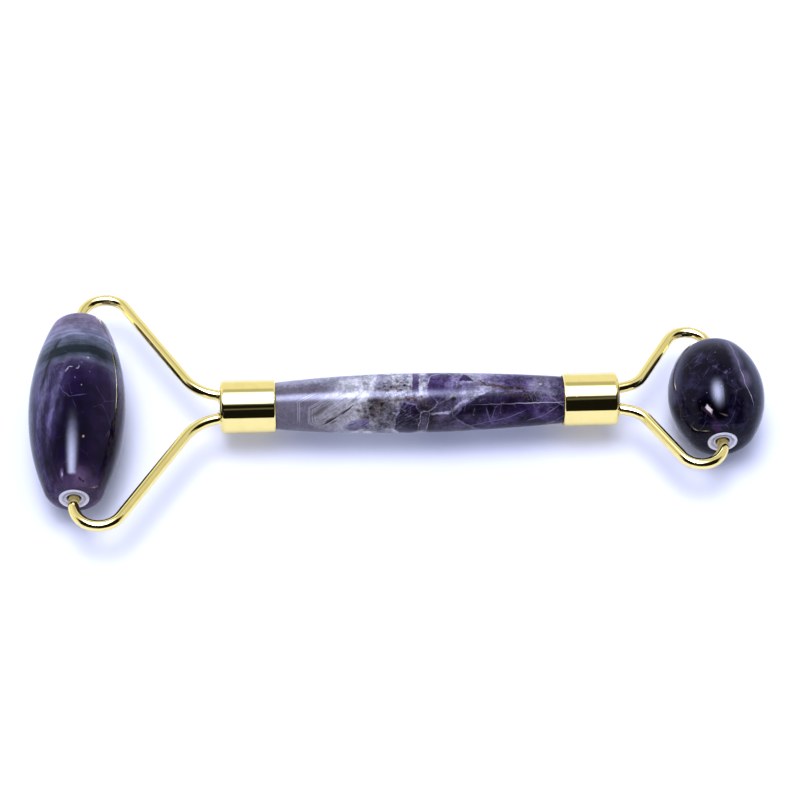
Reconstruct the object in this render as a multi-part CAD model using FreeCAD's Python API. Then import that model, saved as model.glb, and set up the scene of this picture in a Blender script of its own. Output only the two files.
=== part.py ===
import FreeCAD, Part
import math
import os
from dataclasses import dataclass

from FreeCAD import Vector

# A double-ended gemstone face roller, in millimetres.
#
# It lies on a table, which is Z = 0. X runs along the handle, from the large stone at -X to the
# small stone at +X. Y runs across, along the axes that the two stones turn on, and Z is up. The
# origin is the point on the table under the middle of the roller. The handle, the two wire forks
# and both stones' axes lie in one level plane, half a stone's diameter above the table.

# ------------------------------------------------------------------ driving dimensions

OVERALL_LENGTH = 145.0              # from the belly of one stone to the belly of the other
STONE_DIAMETER = 19.0               # both stones at their widest, so that the roller lies level

WIRE_DIAMETER = 2.2
WIRE_REACH_IN_BUSH = 5.0            # how far a wire's end goes into its stone
WIRE_REACH_IN_FERRULE = 2.2         # how far its other end goes into the ferrule, end wall included
ROOT_ANGLE = 13.5                   # how far a leg slants outwards as it leaves the ferrule, degrees

FERRULE_DIAMETER = 10.6
FERRULE_LENGTH = 10.9
FERRULE_WALL = 0.5
FERRULE_END_WALL = 1.2
FERRULE_END_ROUNDING = 0.8
FERRULE_MOUTH_ROUNDING = 0.4

HANDLE_END_DIAMETER = 9.26
HANDLE_MIDDLE_DIAMETER = 11.8
HANDLE_WIDEST_OFFSET = -2.5         # the thickest section, from the middle of the part that shows
HANDLE_DEPTH_IN_FERRULE = 8.4
HANDLE_END_CHAMFER = 0.6

SOLDER_WIDTH = 0.5                  # how far the collar of solder reaches past the wire
SOLDER_HEIGHT = 0.8

BUSH_HEAD_DIAMETER = 5.8
BUSH_HEAD_DEPTH = 1.2
BUSH_BARREL_DIAMETER = 4.2
BUSH_LENGTH = 7.0
BUSH_MOUTH_DIAMETER = 3.0
BUSH_MOUTH_DEPTH = 0.9
BUSH_RIM_HEIGHT = 0.15              # how far its rim stands proud of the stone's end
BUSH_RIM_WIDTH = 0.5
BUSH_GROOVE_WIDTH = 0.35            # the shallow groove just inside the rim
BUSH_LEAD_IN = 0.4
RUNNING_CLEARANCE = 0.08            # between a wire and the bush that turns on it, all round
BUSH_HEAD_CLEARANCE = 0.08          # between a bush's head and its recess in the stone, all round


@dataclass
class End:
    """One end of the roller: a stone that turns between the two legs of a wire fork."""

    name: str
    direction: int                  # +1 towards +X, -1 towards -X
    stone_length: float
    stone_end_diameter: float       # where the belly's curve meets the end, before its edge is rounded
    stone_edge_radius: float
    fork_reach: float               # from the ferrule's end face to the stone's axis
    fork_width: float               # between the outermost points of the two wires' centre lines
    root_spacing: float             # between the two wires' centres at the ferrule's end face
    root_length: float              # the short straight of a wire before its elbow
    elbow_radius: float
    hook_radius: float              # the bend that brings the wire back into the stone


ENDS = (
    End(
        name="large",
        direction=-1,
        stone_length=42.8,
        stone_end_diameter=10.1,
        stone_edge_radius=3.0,
        fork_reach=28.0,
        fork_width=55.8,
        root_spacing=5.6,
        root_length=1.1,
        elbow_radius=9.6,
        hook_radius=4.9,
    ),
    End(
        name="small",
        direction=1,
        stone_length=22.4,
        stone_end_diameter=10.2,
        stone_edge_radius=4.4,
        fork_reach=19.7,
        fork_width=33.0,
        root_spacing=5.0,
        root_length=2.3,
        elbow_radius=5.4,
        hook_radius=4.5,
    ),
)

# The two legs of a fork, and the side of the handle that each is on.
LEGS = (("far", 1), ("near", -1))

# ------------------------------------------------------------------ worked out from them

STONE_RADIUS = STONE_DIAMETER / 2
WIRE_RADIUS = WIRE_DIAMETER / 2
FERRULE_RADIUS = FERRULE_DIAMETER / 2
AXIS_HEIGHT = STONE_RADIUS
STONE_AXIS_OFFSET = OVERALL_LENGTH / 2 - STONE_RADIUS

HANDLE_AXIS = Vector(1, 0, 0)
HANDLE_BASE = Vector(0, 0, AXIS_HEIGHT)


def stone_axis_x(end):
    """X of the axis that this end's stone turns on."""
    return end.direction * STONE_AXIS_OFFSET


def ferrule_face_x(end):
    """X of the closed end face of this end's ferrule, where the wires come out."""
    return stone_axis_x(end) - end.direction * end.fork_reach


def ferrule_mouth_x(end):
    """X of the open end of this end's ferrule, where the handle goes in."""
    return ferrule_face_x(end) - end.direction * FERRULE_LENGTH


# ------------------------------------------------------------------ general shapes


def line(start, end):
    return Part.LineSegment(start, end).toShape()


def arc(start, middle, end):
    return Part.Arc(start, middle, end).toShape()


def outline_edges(start, moves, place):
    """The closed outline that starts at `start` and makes each of `moves` in turn.

    A move of one point is a straight line to it. A move of two points is an arc through the first
    to the second. `place` turns each point of the outline into a point in space.
    """
    edges = []
    here = place(*start)
    for move in moves:
        there = place(*move[-1])
        if len(move) == 1:
            edges.append(line(here, there))
        else:
            edges.append(arc(here, place(*move[0]), there))
        here = there
    edges.append(line(here, place(*start)))
    return edges


def turned(start, moves, base, axis):
    """A solid turned about `axis` through `base`, from half its section.

    The section's points are (distance along the axis, distance from the axis).
    """
    outward = Vector(0, 0, 1)
    edges = outline_edges(start, moves, lambda along, away: base + axis * along + outward * away)
    section = Part.Face(Part.Wire(edges))
    return section.revolve(base, axis, 360)


def rounding(start, corner, end):
    """The arc that rounds the square `corner` of a section, from `start` to `end`, as a move."""
    centre = (start[0] + end[0] - corner[0], start[1] + end[1] - corner[1])
    middle = tuple(c + (k - c) * math.sqrt(0.5) for c, k in zip(centre, corner))
    return [middle, end]


def crown_radius(half_chord, rise):
    """Radius of an arc that drops by `rise` over `half_chord`, from where it runs level."""
    return (half_chord**2 + rise**2) / (2 * rise)


def crown_height(radius, top, distance):
    """Height of such an arc at `distance` from where it runs level, at the height `top`."""
    return top - radius + math.sqrt(radius**2 - distance**2)


# ------------------------------------------------------------------ handle


def make_handle():
    """The handle's stone: two long curves that meet level at its thickest section, and a straight
    glued stretch inside each ferrule."""
    low, high = sorted(ferrule_mouth_x(end) for end in ENDS)
    widest = (low + high) / 2 + HANDLE_WIDEST_OFFSET
    middle_radius = HANDLE_MIDDLE_DIAMETER / 2
    end_radius = HANDLE_END_DIAMETER / 2
    low_tip = low - HANDLE_DEPTH_IN_FERRULE
    high_tip = high + HANDLE_DEPTH_IN_FERRULE

    def halfway(mouth):
        """The point halfway along the curve from one ferrule's mouth to the thickest section."""
        chord = abs(widest - mouth)
        radius = crown_radius(chord, middle_radius - end_radius)
        return ((mouth + widest) / 2, crown_height(radius, middle_radius, chord / 2))

    moves = [
        [(low_tip, end_radius - HANDLE_END_CHAMFER)],
        [(low_tip + HANDLE_END_CHAMFER, end_radius)],
        [(low, end_radius)],
        [halfway(low), (widest, middle_radius)],
        [halfway(high), (high, end_radius)],
        [(high_tip - HANDLE_END_CHAMFER, end_radius)],
        [(high_tip, end_radius - HANDLE_END_CHAMFER)],
        [(high_tip, 0)],
    ]
    return turned((low_tip, 0), moves, HANDLE_BASE, HANDLE_AXIS)


# ------------------------------------------------------------------ ferrules


def ferrule_frame(end):
    """Where a ferrule's profile starts, the middle of its mouth, and the way it points."""
    return Vector(ferrule_mouth_x(end), 0, AXIS_HEIGHT), HANDLE_AXIS * end.direction


def make_ferrule(end, wires):
    """A thin cup of brass with rounded edges, and a hole in its end wall for each wire."""
    base, axis = ferrule_frame(end)
    bore_radius = FERRULE_RADIUS - FERRULE_WALL
    bore_depth = FERRULE_LENGTH - FERRULE_END_WALL
    mouth_edge = (0, FERRULE_RADIUS - FERRULE_MOUTH_ROUNDING)
    end_edge = (FERRULE_LENGTH - FERRULE_END_ROUNDING, FERRULE_RADIUS)
    end_face_edge = (FERRULE_LENGTH, FERRULE_RADIUS - FERRULE_END_ROUNDING)
    moves = [
        [mouth_edge],
        rounding(mouth_edge, (0, FERRULE_RADIUS), (FERRULE_MOUTH_ROUNDING, FERRULE_RADIUS)),
        [end_edge],
        rounding(end_edge, (FERRULE_LENGTH, FERRULE_RADIUS), end_face_edge),
        [(FERRULE_LENGTH, 0)],
        [(bore_depth, 0)],
        [(bore_depth, bore_radius)],
    ]
    cup = turned((0, bore_radius), moves, base, axis)
    return cup.cut(wires)


def make_glue(end, handle, wires):
    """The adhesive: all of a ferrule's inside that the handle and the wires leave free."""
    base, axis = ferrule_frame(end)
    bore_radius = FERRULE_RADIUS - FERRULE_WALL
    bore_depth = FERRULE_LENGTH - FERRULE_END_WALL
    moves = [[(FERRULE_MOUTH_ROUNDING, bore_radius)], [(bore_depth, bore_radius)], [(bore_depth, 0)]]
    inside = turned((FERRULE_MOUTH_ROUNDING, 0), moves, base, axis)
    return inside.cut([handle] + wires)


# ------------------------------------------------------------------ wire forks


def leg_place(end, side):
    """Turns a point of a leg's path, (out from the ferrule's face, away from the handle's axis),
    into a point in space."""
    face = ferrule_face_x(end)
    return lambda out, away: Vector(face + end.direction * out, side * away, AXIS_HEIGHT)


def polar(centre, radius, angle):
    """The point of a circle at `angle`, in radians, from the direction away from the ferrule."""
    return (centre[0] + radius * math.cos(angle), centre[1] + radius * math.sin(angle))


def make_wire(end, side):
    """One leg of a fork: a short straight out of the ferrule, an elbow, a long straight, and a hook
    that brings its end back along the stone's axis. Every bend is tangent to its straights."""
    place = leg_place(end, side)
    root_angle = math.radians(ROOT_ANGLE)
    root = (0, end.root_spacing / 2)
    inner_end = polar(root, -WIRE_REACH_IN_FERRULE, root_angle)
    elbow_start = polar(root, end.root_length, root_angle)
    elbow = polar(elbow_start, end.elbow_radius, root_angle + math.pi / 2)
    hook = (end.fork_reach - end.hook_radius, end.fork_width / 2 - end.hook_radius)

    # The long straight is the line that is tangent to both bends and crosses between them.
    across = (hook[0] - elbow[0], hook[1] - elbow[1])
    lean = math.asin((end.elbow_radius + end.hook_radius) / math.hypot(*across))
    slant = math.atan2(across[1], across[0]) + lean

    elbow_first = root_angle - math.pi / 2
    elbow_last = slant - math.pi / 2
    hook_first = slant + math.pi / 2
    stub_end = (end.fork_reach, end.stone_length / 2 - WIRE_REACH_IN_BUSH)
    elbow_end = polar(elbow, end.elbow_radius, elbow_last)
    hook_start = polar(hook, end.hook_radius, hook_first)
    hook_end = polar(hook, end.hook_radius, 0)
    path = Part.Wire(
        [
            line(place(*inner_end), place(*elbow_start)),
            arc(
                place(*elbow_start),
                place(*polar(elbow, end.elbow_radius, (elbow_first + elbow_last) / 2)),
                place(*elbow_end),
            ),
            line(place(*elbow_end), place(*hook_start)),
            arc(
                place(*hook_start),
                place(*polar(hook, end.hook_radius, hook_first / 2)),
                place(*hook_end),
            ),
            line(place(*hook_end), place(*stub_end)),
        ]
    )
    heading = place(*elbow_start) - place(*inner_end)
    section = Part.Wire([Part.makeCircle(WIRE_RADIUS, place(*inner_end), heading)])
    return path.makePipeShell([section], True, False)


def make_solder(end, side, wire):
    """The collar of solder round a wire at the ferrule's face, hollow-sided where it wetted both."""
    place = leg_place(end, side)
    root_angle = math.radians(ROOT_ANGLE)
    root = (0, end.root_spacing / 2)
    base = place(*root)
    axis = (place(*polar(root, 1, root_angle)) - base).normalize()
    foot = WIRE_RADIUS + SOLDER_WIDTH
    hollow = (SOLDER_HEIGHT * (1 - math.sqrt(0.5)), foot - SOLDER_WIDTH * math.sqrt(0.5))
    inner_radius = WIRE_RADIUS / 2
    moves = [
        [(-SOLDER_WIDTH, foot)],
        [(0, foot)],
        [hollow, (SOLDER_HEIGHT, WIRE_RADIUS)],
        [(SOLDER_HEIGHT, inner_radius)],
    ]
    collar = turned((-SOLDER_WIDTH, inner_radius), moves, base, axis)
    size = FERRULE_DIAMETER
    corner = Vector(ferrule_face_x(end), -size, AXIS_HEIGHT - size)
    if end.direction < 0:
        corner.x -= size
    outside = Part.makeBox(size, 2 * size, 2 * size, corner)
    return collar.common(outside).cut(wire)


# ------------------------------------------------------------------ stones and their bushes


def stone_end_frame(end, side):
    """The middle of one end of a stone, and the way that end faces."""
    middle = Vector(stone_axis_x(end), side * end.stone_length / 2, AXIS_HEIGHT)
    return middle, Vector(0, side, 0)


def make_stone(end):
    """A barrel with a curved belly and rounded ends, bored through for its bushes, with a shallow
    recess at each end for a bush's head."""
    half = end.stone_length / 2
    belly = crown_radius(half, STONE_RADIUS - end.stone_end_diameter / 2)
    edge = end.stone_edge_radius
    belly_centre = STONE_RADIUS - belly
    edge_along = half - edge
    edge_away = belly_centre + math.sqrt((belly - edge) ** 2 - edge_along**2)
    normal = math.atan2(edge_away - belly_centre, edge_along)
    edge_start = polar((0, belly_centre), belly, normal)
    edge_middle = polar((edge_along, edge_away), edge, normal / 2)
    recess_radius = BUSH_HEAD_DIAMETER / 2 + BUSH_HEAD_CLEARANCE
    recess_floor = half - BUSH_HEAD_DEPTH
    bore_radius = BUSH_BARREL_DIAMETER / 2

    def mirrored(point):
        return (-point[0], point[1])

    moves = [
        [(-recess_floor, recess_radius)],
        [(-half, recess_radius)],
        [(-half, edge_away)],
        [mirrored(edge_middle), mirrored(edge_start)],
        [(0, STONE_RADIUS), edge_start],
        [edge_middle, (half, edge_away)],
        [(half, recess_radius)],
        [(recess_floor, recess_radius)],
        [(recess_floor, bore_radius)],
    ]
    base = Vector(stone_axis_x(end), 0, AXIS_HEIGHT)
    return turned((-recess_floor, bore_radius), moves, base, Vector(0, 1, 0))


def make_bush(end, side):
    """A plastic bush: a head with a raised rim, a groove inside it and a flared mouth, and a
    barrel pressed into the stone. The wire runs in its bore."""
    base, axis = stone_end_frame(end, side)
    bore = WIRE_RADIUS + RUNNING_CLEARANCE
    mouth = BUSH_MOUTH_DIAMETER / 2
    barrel = BUSH_BARREL_DIAMETER / 2
    head = BUSH_HEAD_DIAMETER / 2
    rim_top = BUSH_RIM_HEIGHT
    groove_floor = -BUSH_RIM_HEIGHT
    rim_inner = head - BUSH_RIM_WIDTH
    groove_outer = rim_inner - BUSH_RIM_HEIGHT
    groove_inner = groove_outer - BUSH_GROOVE_WIDTH
    rim_edge = (rim_top, head - BUSH_RIM_HEIGHT)
    moves = [
        [(-BUSH_MOUTH_DEPTH, bore)],
        [(0, mouth)],
        [(0, groove_inner)],
        [(groove_floor, (groove_inner + groove_outer) / 2), (0, groove_outer)],
        [(rim_top, rim_inner)],
        [rim_edge],
        rounding(rim_edge, (rim_top, head), (0, head)),
        [(-BUSH_HEAD_DEPTH, head)],
        [(-BUSH_HEAD_DEPTH, barrel)],
        [(BUSH_LEAD_IN - BUSH_LENGTH, barrel)],
        [(-BUSH_LENGTH, barrel - BUSH_LEAD_IN)],
    ]
    return turned((-BUSH_LENGTH, bore), moves, base, axis)


# ------------------------------------------------------------------ assembly


def make_parts():
    """Every piece of the roller, by name."""
    handle = make_handle()
    parts = {"handle_stone": handle}
    for end in ENDS:
        wires = {leg: make_wire(end, side) for leg, side in LEGS}
        parts[f"{end.name}_ferrule"] = make_ferrule(end, list(wires.values()))
        parts[f"{end.name}_glue"] = make_glue(end, handle, list(wires.values()))
        parts[f"{end.name}_stone"] = make_stone(end)
        for leg, side in LEGS:
            parts[f"{end.name}_{leg}_wire"] = wires[leg]
            parts[f"{end.name}_{leg}_solder"] = make_solder(end, side, wires[leg])
            parts[f"{end.name}_{leg}_bush"] = make_bush(end, side)
    return parts


def write_parts(parts):
    """Writes each piece as one STEP file, and prints its size."""
    os.makedirs("parts", exist_ok=True)
    for name, shape in parts.items():
        box = shape.BoundBox
        print(
            f"{name:18s} solids {len(shape.Solids)}  valid {shape.isValid()}"
            f"  volume {shape.Volume:8.2f}"
            f"  X {box.XMin:7.2f} {box.XMax:7.2f}"
            f"  Y {box.YMin:7.2f} {box.YMax:7.2f}  Z {box.ZMin:6.2f} {box.ZMax:6.2f}"
        )
        shape.exportStep(f"parts/{name}.step")


write_parts(make_parts())
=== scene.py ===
import math
from dataclasses import dataclass

import bpy
from mathutils import Matrix, Vector


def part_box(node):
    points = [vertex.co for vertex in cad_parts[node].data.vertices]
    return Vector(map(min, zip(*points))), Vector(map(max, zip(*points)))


# The looks of a double-ended amethyst face roller: polished stone, gold-plated brass and white
# plastic bushes, on a pale floor under a softbox.
#
# Every material is a pattern through the solid, in millimetres of the part's own frame, so it
# turns with its piece. Places on a stone are given on its unrolled surface: how far along its
# axis, and how far round it, both in millimetres.

PER_METRE = 1000.0                  # millimetres

# ------------------------------------------------------------------ camera

CAMERA_AZIMUTH = -3.9               # degrees
CAMERA_ELEVATION = 52.2
CAMERA_ROLL = 1.85
CAMERA_DISTANCE = 0.5502            # metres, from the point it aims at
CAMERA_LENS = 125.7                 # millimetres
SENSOR_WIDTH = 36.0
AIM_HEIGHT = 0.0095                 # the height of the stones' axes
AIM_RIGHT = 0.00036                 # the frame's centre, from the roller's middle, in the picture
AIM_UP = 0.00064

# ------------------------------------------------------------------ the studio's light and floor

KEY_TINT = (0.75, 0.78, 1.0)        # the lamps are cooler than the camera's white balance
KEY_STRENGTH = 11.4                 # the softbox overhead, as matt surfaces get it
KEY_SPREAD = (16.0, 20.0)           # degrees from its centre to where it has faded to a third
KEY_MIRRORED = (80.0, 85.0, 130.0)  # its bright middle, as polished surfaces mirror it
MIRRORED_SPREAD = (11.5, 14.5)      # how far that bright middle reaches, in degrees too
KEY_LEAN = (-6.0, -1.0)             # degrees from straight overhead
KEY_FALLOFF = 2.4                   # how abruptly it fades
LOWEST_RAY = 0.01                   # sine of the elevation that lower rays count as
FILL_TINT = (0.60, 0.66, 1.0)
FILL_STRENGTH = 0.9                 # what reaches matt surfaces evenly from all round

# What polished surfaces mirror: bright paper walls, a ceiling with a dim gap behind the softbox,
# and the dark room in front, where the camera stands.
ROOM_TINT = (1.0, 1.02, 1.10)
WALL_STRENGTH = (1.0, 0.75)         # on the left and behind, and on the right
WALL_CHANGE = (0.2, 0.9)            # where, across the room, the first gives way to the second
WALL_TOP = (0.66, 0.74)             # sine of the elevation where it gives way to the ceiling
CEILING_STRENGTH = (0.55, 0.80)     # in the gap, and beside it
GAP_HALF_WIDTH = (0.10, 0.30)       # its edge is soft, from the first of these to the second
FRONT_STRENGTH = 0.008
FRONT_HALF_WIDTH = (0.82, 0.93)     # its soft sides
FRONT_BOTTOM = (0.00, 0.03)         # its soft edges, as sines of the elevation
FRONT_TOP = (0.90, 0.925)
FRONT_BEGINS = (0.0, -0.05)         # how far forwards a ray points where it begins
RAIL_STRENGTH = 0.15                # a dim rail that crosses the dark front, aslant
RAIL_HEIGHT = 0.675
RAIL_SLOPE = 1.2
RAIL_WIDTH = 0.07

FLOOR_SIZE = 4.0
FLOOR_WHITE = (0.90, 0.90, 0.90, 1.0)
FLOOR_FIBRE = (0.72, 0.72, 0.74, 1.0)
FIBRE_STRENGTH = 0.05
PAPER_ROUGHNESS = 0.9
PAPER_GLOSS = 0.2

# What a white surface that faces up sends back in this light. A colour as seen, divided by this,
# is the colour of the material itself.
STUDIO_LIGHT = (1.29, 1.37, 1.90)


def tan_of(degrees):
    return math.tan(math.radians(degrees))


def linear(channel):
    """A display value from 0 to 255 as a linear one from 0 to 1, by the sRGB rule."""
    share = channel / 255
    if share <= 0.04045:
        return share / 12.92
    return ((share + 0.055) / 1.055) ** 2.4


def seen(red, green, blue):
    """The colour of a surface that looks like this in the studio's light."""
    return tuple(linear(c) / light for c, light in zip((red, green, blue), STUDIO_LIGHT)) + (1.0,)


# ------------------------------------------------------------------ colours

GREY_LAVENDER = seen(112, 108, 132)
PALE_LAVENDER = seen(160, 160, 192)
MILKY = seen(194, 196, 220)
SMOKY = seen(88, 84, 100)
OLIVE_GREY = seen(96, 94, 102)
DUSKY_LILAC = seen(104, 96, 142)
LILAC = seen(138, 130, 178)
VIOLET = seen(78, 63, 116)
DEEP_PURPLE = seen(52, 38, 84)
DARK_VIOLET = seen(32, 20, 52)
NEAR_BLACK = seen(17, 9, 31)
RUST = seen(90, 54, 50)
BROWN = seen(72, 54, 56)
BROWN_BLACK = seen(38, 30, 34)
CREAM = seen(205, 180, 160)


# ------------------------------------------------------------------ node trees

NOISE_MIDDLE = 0.5                  # the middle of what noise gives
STREAK_STRETCH = 10                 # how many times longer than it is wide a streak is
SPECK_CORE = 0.6                    # the share of a speck that shows at full strength


class Graph:
    """A node tree, built by calls that read like sums."""

    def __init__(self, tree):
        tree.nodes.clear()
        self.tree = tree

    def feed(self, socket, value):
        """Links a node's output to a socket, or gives the socket a plain value."""
        if isinstance(value, bpy.types.NodeSocket):
            self.tree.links.new(value, socket)
        else:
            socket.default_value = value

    def node(self, kind, inputs=(), **settings):
        """A new node, with its settings, and its inputs given by name or by number."""
        made = self.tree.nodes.new(kind)
        for name, value in settings.items():
            setattr(made, name, value)
        for name, value in dict(inputs).items():
            self.feed(made.inputs[name], value)
        return made

    def sum(self, operation, *values):
        inputs = dict(enumerate(values))
        return self.node("ShaderNodeMath", inputs, operation=operation).outputs[0]

    def times(self, *values):
        """All the values multiplied together."""
        product = values[0]
        for value in values[1:]:
            product = self.sum("MULTIPLY", product, value)
        return product

    def vector(self, operation, *values):
        """A vector sum, with its vector result."""
        inputs = dict(enumerate(values))
        return self.node("ShaderNodeVectorMath", inputs, operation=operation).outputs["Vector"]

    def measure(self, operation, *values):
        """A vector sum, with a plain number as its result."""
        inputs = dict(enumerate(values))
        return self.node("ShaderNodeVectorMath", inputs, operation=operation).outputs["Value"]

    def scaled(self, vector, scale):
        inputs = {"Vector": vector, "Scale": scale}
        return self.node("ShaderNodeVectorMath", inputs, operation="SCALE").outputs["Vector"]

    def parts(self, vector):
        """The three parts of a vector."""
        split = self.node("ShaderNodeSeparateXYZ", {0: vector})
        return split.outputs[0], split.outputs[1], split.outputs[2]

    def joined(self, x, y, z=0.0):
        return self.node("ShaderNodeCombineXYZ", {0: x, 1: y, 2: z}).outputs[0]

    def fade(self, value, nothing, full):
        """0 where the value is at `nothing`, 1 where it is at `full`, and smooth between them."""
        inputs = {"Value": value, "From Min": nothing, "From Max": full}
        made = self.node("ShaderNodeMapRange", inputs, interpolation_type="SMOOTHSTEP")
        return made.outputs["Result"]

    def spread(self, value, low, high):
        """A value of 0 to 1 as one of `low` to `high`."""
        inputs = {"Value": value, "To Min": low, "To Max": high}
        return self.node("ShaderNodeMapRange", inputs).outputs["Result"]

    def mix(self, share, first, second):
        """The second colour over the first."""
        inputs = {0: share, 6: first, 7: second}
        return self.node("ShaderNodeMix", inputs, data_type="RGBA").outputs[2]

    def ramp(self, value, low, high, stops):
        """A colour for each place between `low` and `high`, from (place, colour) stops."""
        made = self.node("ShaderNodeValToRGB")
        made.color_ramp.interpolation = "EASE"
        elements = made.color_ramp.elements
        while len(elements) < len(stops):
            elements.new(1.0)
        for element, (place, colour) in zip(elements, stops):
            element.position = (place - low) / (high - low)
            element.color = colour
        inputs = {"Value": value, "From Min": low, "From Max": high}
        share = self.node("ShaderNodeMapRange", inputs).outputs["Result"]
        self.feed(made.inputs[0], share)
        return made.outputs[0]

    def noise_node(self, place, size, detail, roughness):
        """Cloudy noise, as one number and as three."""
        inputs = {"Vector": place, "Scale": 1 / size, "Detail": detail, "Roughness": roughness}
        return self.node("ShaderNodeTexNoise", inputs)

    def noise(self, place, size, detail=3.0, roughness=0.55):
        """Cloudy noise from 0 to 1, whose clouds are about `size` across."""
        return self.noise_node(place, size, detail, roughness).outputs[0]

    def warped(self, place, through, size, amount):
        """A place pushed about by noise that is read at `through`."""
        push = self.noise_node(through, size, detail=2.0, roughness=0.5).outputs[1]
        push = self.vector("SUBTRACT", push, (NOISE_MIDDLE,) * 3)
        return self.vector("ADD", place, self.scaled(push, amount))

    def cracks(self, place, size, width):
        """1 along the walls between cells about `size` across, 0 inside them."""
        inputs = {"Vector": place, "Scale": 1 / size}
        cell = self.node("ShaderNodeTexVoronoi", inputs, feature="DISTANCE_TO_EDGE")
        return self.fade(cell.outputs["Distance"], nothing=width / size, full=0.0)

    def fractures(self, place, size, width):
        """1 along hair-fine, nearly straight cracks that come and go, about `size` apart."""
        bent = self.warped(place, place, size=size * 1.5, amount=size * 0.3)
        coming = self.noise(place, size=size * 0.5, detail=4.0, roughness=0.65)
        shown = self.fade(coming, nothing=0.46, full=0.62)
        return self.times(self.cracks(bent, size, width), shown)

    def streaks(self, place, turn, width):
        """Noise from 0 to 1, drawn out along one direction of an unrolled surface."""
        inputs = {
            "Vector": place,
            "Rotation": (0, 0, math.radians(turn)),
            "Scale": (width * STREAK_STRETCH, width, 1),
        }
        drawn_out = self.node("ShaderNodeMapping", inputs, vector_type="TEXTURE").outputs[0]
        return self.noise(drawn_out, size=1.0, detail=3.0, roughness=0.6)

    def specks(self, place, size, amount):
        """1 on specks about `size` apart, each about `amount` of that across."""
        cell = self.node("ShaderNodeTexVoronoi", {"Vector": place, "Scale": 1 / size})
        return self.fade(cell.outputs["Distance"], nothing=amount, full=amount * SPECK_CORE)

    def bump(self, height, distance):
        """The surface's direction, over a height of 0 to 1 that stands for `distance` mm."""
        inputs = {"Height": height, "Distance": distance / PER_METRE}
        return self.node("ShaderNodeBump", inputs).outputs[0]


def place_in_solid(graph):
    """The place in the part's own frame, in millimetres."""
    return graph.scaled(graph.node("ShaderNodeTexCoord").outputs["Object"], PER_METRE)


def from_axis(graph, x, z, box):
    """How far a place is across from the axis of a rolling stone, and up from it."""
    across = graph.sum("SUBTRACT", x, box.centre.x * PER_METRE)
    up = graph.sum("SUBTRACT", z, box.centre.z * PER_METRE)
    return across, up


def unrolled(graph, along, across, up, radius):
    """The place on an unrolled stone: along its axis, and round it from its top."""
    around = graph.sum("MULTIPLY", graph.sum("ARCTAN2", across, up), radius)
    return graph.joined(along, around)


def new_material(name):
    material = bpy.data.materials.new(name)
    material.use_nodes = True
    return material, Graph(material.node_tree)


def finish_material(graph, **inputs):
    """Ends a material's tree in one Principled shader."""
    named = {key.replace("_", " "): value for key, value in inputs.items()}
    shader = graph.node("ShaderNodeBsdfPrincipled", named)
    output = graph.node("ShaderNodeOutputMaterial")
    graph.feed(output.inputs["Surface"], shader.outputs[0])


# ------------------------------------------------------------------ marks on a stone

WALL_CORE = 0.3                     # the share of a wall's line that shows at full strength


@dataclass
class Patch:
    """A mark on a stone: an ellipse, or a crystal's section with straight sides. The lists of
    patches give these values in this order."""

    colour: tuple
    along: float                    # its middle, on the unrolled surface
    around: float
    length: float                   # from end to end, before it is turned
    width: float
    turn: float = 0.0               # degrees
    softness: float = 0.35
    strength: float = 1.0
    sides: int = 0                  # 0 for an ellipse
    wall: tuple = None              # the colour of a thin line round it
    wall_width: float = 0.10        # as a share of its size


def patch_reach(graph, place, patch):
    """How far out of a patch a place is: 0 at its middle and 1 at its edge."""
    away = graph.vector("SUBTRACT", place, (patch.along, patch.around, 0))
    turn = math.radians(patch.turn)
    lengthways = Vector((math.cos(turn), math.sin(turn), 0)) * 2 / patch.length
    crossways = Vector((-math.sin(turn), math.cos(turn), 0)) * 2 / patch.width
    if patch.sides == 0:
        parts = [graph.measure("DOT_PRODUCT", away, way) for way in (lengthways, crossways)]
        return graph.measure("LENGTH", graph.joined(*parts))
    reach = 0.0
    for side in range(patch.sides):
        angle = math.tau * side / patch.sides
        outward = lengthways * math.cos(angle) + crossways * math.sin(angle)
        reach = graph.sum("MAXIMUM", reach, graph.measure("DOT_PRODUCT", away, outward))
    return reach


def share_within(graph, reach, patch):
    """How much of a patch shows, from how far out of it a place is."""
    inside = graph.fade(reach, nothing=1 + patch.softness, full=1 - patch.softness)
    return graph.times(inside, patch.strength)


def patch_share(graph, place, patch):
    """How much of a patch shows at a place."""
    return share_within(graph, patch_reach(graph, place, patch), patch)


def painted(graph, colour, place, patches, tatter=0.0):
    """A colour with patches laid over it, in order. Tatter is noise that makes the soft edges
    ragged."""
    for patch in patches:
        torn = graph.times(tatter, patch.softness)
        reach = graph.sum("ADD", patch_reach(graph, place, patch), torn)
        colour = graph.mix(share_within(graph, reach, patch), colour, patch.colour)
        if patch.wall:
            away = graph.sum("ABSOLUTE", graph.sum("SUBTRACT", reach, 1.0))
            core = patch.wall_width * WALL_CORE
            line = graph.fade(away, nothing=patch.wall_width, full=core)
            colour = graph.mix(line, colour, patch.wall)
    return colour


def seam(colour, points, width, softness=0.5, strength=0.8):
    """A line through some places on the surface, as a row of narrow patches."""
    patches = []
    for (along, around), (next_along, next_around) in zip(points, points[1:]):
        step = Vector((next_along - along, next_around - around))
        turn = math.degrees(math.atan2(step.y, step.x))
        middle = (along + next_along) / 2, (around + next_around) / 2
        patches.append(Patch(colour, *middle, step.length, width, turn, softness, strength))
    return patches


def growth_lines(graph, place, crystal, rings, width):
    """1 on the thin nested outlines that a crystal leaves as it grows. Each ring is a share of
    the crystal's size."""
    reach = patch_reach(graph, place, crystal)
    share_of_size = width * 2 / crystal.width
    lines = 0.0
    for ring in rings:
        away = graph.sum("ABSOLUTE", graph.sum("SUBTRACT", reach, ring))
        line = graph.fade(away, nothing=share_of_size, full=0.0)
        lines = graph.sum("MAXIMUM", lines, line)
    return lines


# ------------------------------------------------------------------ stone

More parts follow.
